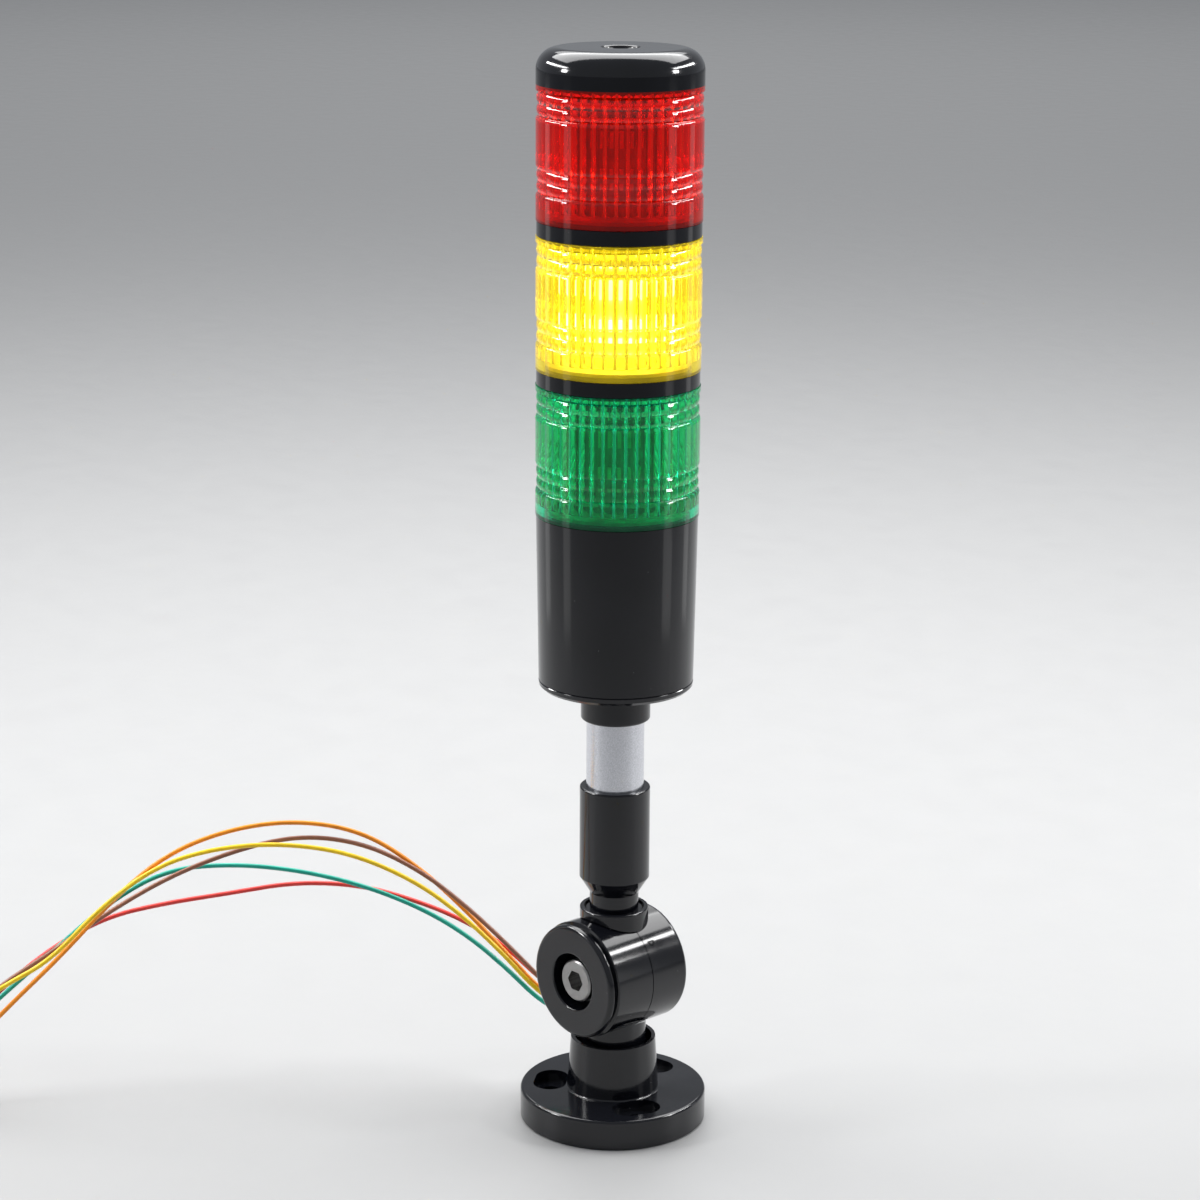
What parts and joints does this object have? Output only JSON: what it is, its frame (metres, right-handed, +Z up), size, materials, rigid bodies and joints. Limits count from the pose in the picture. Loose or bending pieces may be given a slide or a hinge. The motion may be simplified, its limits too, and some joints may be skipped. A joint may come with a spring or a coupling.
{
  "type": "stack light",
  "caption": "Stacked signal light in red, yellow and green on an aluminium pole, with a folding knuckle joint, a round screw-down flange and flying leads.",
  "frame": {"origin": "centre of the flange's underside, on the surface it is screwed to", "axes": "+Z up along the tower at rest; Y along the hinge axis, with the head of the hinge screw on -Y; the tower folds towards +X and the leads leave towards -X"},
  "size_m": [0.2073, 0.2365, 0.338],
  "materials": {
    "black_moulding": "gloss",
    "zinc": "zinc plated",
    "steel": "turned",
    "aluminium": "satin",
    "rubber": "matt",
    "board": "satin",
    "connector": "satin",
    "buzzer": "satin",
    "brass": "bright",
    "copper": "bright",
    "lamp": "satin",
    "green_lens": "clear gloss",
    "yellow_lens": "clear gloss",
    "red_lens": "clear gloss",
    "orange_wire": "satin",
    "brown_wire": "satin",
    "yellow_wire": "satin",
    "green_wire": "satin",
    "red_wire": "satin"
  },
  "bodies": {
    "base": {"base_flange": "black_moulding", "neck_washer": "zinc", "neck_nut": "zinc", "lower_knuckle": "black_moulding", "hinge_cap": "black_moulding", "friction_washer": "zinc", "lead_grommet": "rubber", "lead_orange": "orange_wire", "lead_brown": "brown_wire", "lead_yellow": "yellow_wire", "lead_green": "green_wire", "lead_red": "red_wire", "lead_tips": "copper"},
    "tower": {"upper_knuckle": "black_moulding", "hinge_screw": "steel", "hinge_nut": "zinc", "pole_sleeve": "black_moulding", "pole_set_screw": "steel", "pole": "aluminium", "pole_nut": "zinc", "body_cover": "black_moulding", "body_housing": "black_moulding", "driver_board": "board", "board_screws": "zinc", "wire_connector": "connector", "buzzer": "buzzer", "inner_leads": "yellow_wire", "tier_leads": "yellow_wire", "contact_pins": "brass", "tie_rod": "zinc", "rod_washer": "zinc", "rod_nut": "zinc", "cap": "black_moulding", "cap_insert": "brass", "green_base": "black_moulding", "green_round_board": "board", "green_boards": "board", "green_leds": "lamp", "green_lens": "green_lens", "yellow_base": "black_moulding", "yellow_round_board": "board", "yellow_boards": "board", "yellow_leds": "lamp", "yellow_lens": "yellow_lens", "red_base": "black_moulding", "red_round_board": "board", "red_boards": "board", "red_leds": "lamp", "red_lens": "red_lens"}
  },
  "joints": [
    {"name": "fold", "type": "hinge", "parent": "base", "child": "tower", "pos_m": [0, 0, 0.0492], "axis": [0, 1, 0], "range_deg": [0, 90]}
  ]
}
